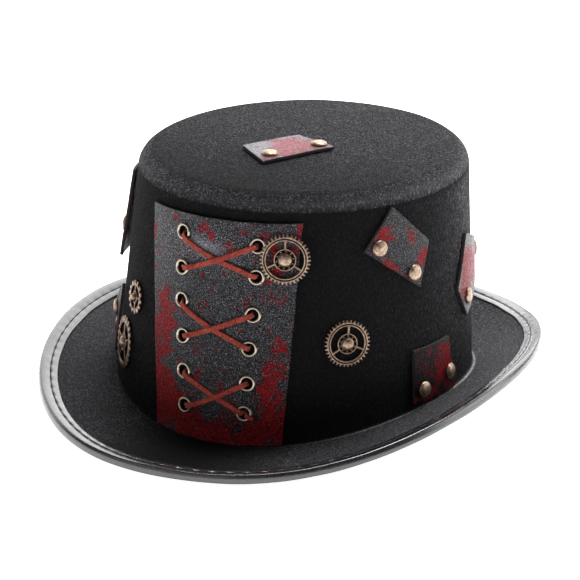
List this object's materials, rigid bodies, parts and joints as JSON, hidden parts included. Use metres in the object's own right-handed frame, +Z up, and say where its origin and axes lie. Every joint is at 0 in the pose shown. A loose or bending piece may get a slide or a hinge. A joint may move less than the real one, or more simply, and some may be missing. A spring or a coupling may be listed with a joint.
{
  "type": "steampunk hat",
  "caption": "Black felt top hat with a curled bound brim, a laced leather front panel, riveted leather patches and clock gears.",
  "frame": {"origin": "centre of the hat's footprint, on the surface that it rests on", "axes": "+Z up through the crown, -Y to the laced front, +X to the wearer's left"},
  "size_m": [0.243, 0.3206, 0.132],
  "materials": {
    "black_felt": "matte wool felt",
    "black_binding": "glossy imitation leather",
    "distressed_leather": "grey leather rubbed through to crimson, semi-gloss",
    "rust_suede": "matte suede",
    "pale_brass": "polished, slightly tarnished",
    "antique_bronze": "antique, darkened in the recesses"
  },
  "bodies": {
    "root": {"felt_body": "black_felt", "brim_binding": "black_binding", "laced_panel": "distressed_leather", "eyelet_left_1": "pale_brass", "eyelet_left_2": "pale_brass", "eyelet_left_3": "pale_brass", "eyelet_left_4": "pale_brass", "eyelet_left_5": "pale_brass", "eyelet_left_6": "pale_brass", "eyelet_right_1": "pale_brass", "eyelet_right_2": "pale_brass", "eyelet_right_3": "pale_brass", "eyelet_right_4": "pale_brass", "eyelet_right_5": "pale_brass", "eyelet_right_6": "pale_brass", "lace_under_1": "rust_suede", "lace_over_1": "rust_suede", "lace_under_2": "rust_suede", "lace_over_2": "rust_suede", "lace_under_3": "rust_suede", "lace_over_3": "rust_suede", "lace_tail": "rust_suede", "patch_tip": "distressed_leather", "patch_tip_rivet_1": "antique_bronze", "patch_tip_rivet_2": "antique_bronze", "patch_front_upper": "distressed_leather", "patch_front_upper_rivet_1": "antique_bronze", "patch_front_upper_rivet_2": "antique_bronze", "patch_front_lower": "distressed_leather", "patch_front_lower_rivet_1": "antique_bronze", "patch_front_lower_rivet_2": "antique_bronze", "patch_right_side": "distressed_leather", "patch_right_side_rivet_1": "antique_bronze", "patch_right_side_rivet_2": "antique_bronze", "patch_left_upper": "distressed_leather", "patch_left_upper_rivet_1": "antique_bronze", "patch_left_upper_rivet_2": "antique_bronze", "patch_left_lower": "distressed_leather", "patch_left_lower_rivet_1": "antique_bronze", "patch_left_lower_rivet_2": "antique_bronze", "gear_panel": "antique_bronze", "gear_panel_rivet": "antique_bronze", "gear_front": "antique_bronze", "gear_front_rivet": "antique_bronze", "gear_left_small": "antique_bronze", "gear_left_small_rivet": "antique_bronze", "gear_left_large": "antique_bronze", "gear_left_large_rivet": "antique_bronze"}
  },
  "joints": []
}
